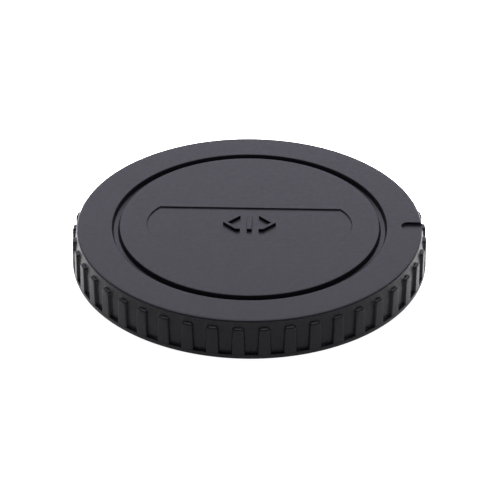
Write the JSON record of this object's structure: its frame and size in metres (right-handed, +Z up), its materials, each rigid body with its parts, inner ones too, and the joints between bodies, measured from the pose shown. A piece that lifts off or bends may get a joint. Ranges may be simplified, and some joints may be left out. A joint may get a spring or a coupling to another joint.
{
  "type": "camera body cap",
  "caption": "Round ribbed plastic cap that twists into a camera's lens mount, with a bayonet ring and lugs below and a sunk badge in its top.",
  "frame": {"origin": "centre of the bayonet ring's lower end, on the surface that the cap stands on", "axes": "+Z up along the bayonet ring's axis, out of the top face; +X towards the index slot"},
  "size_m": [0.062, 0.062, 0.0105],
  "materials": {
    "black_plastic": "black moulded plastic with a fine satin grain"
  },
  "bodies": {
    "root": {"body_cap": "black_plastic"}
  },
  "joints": []
}
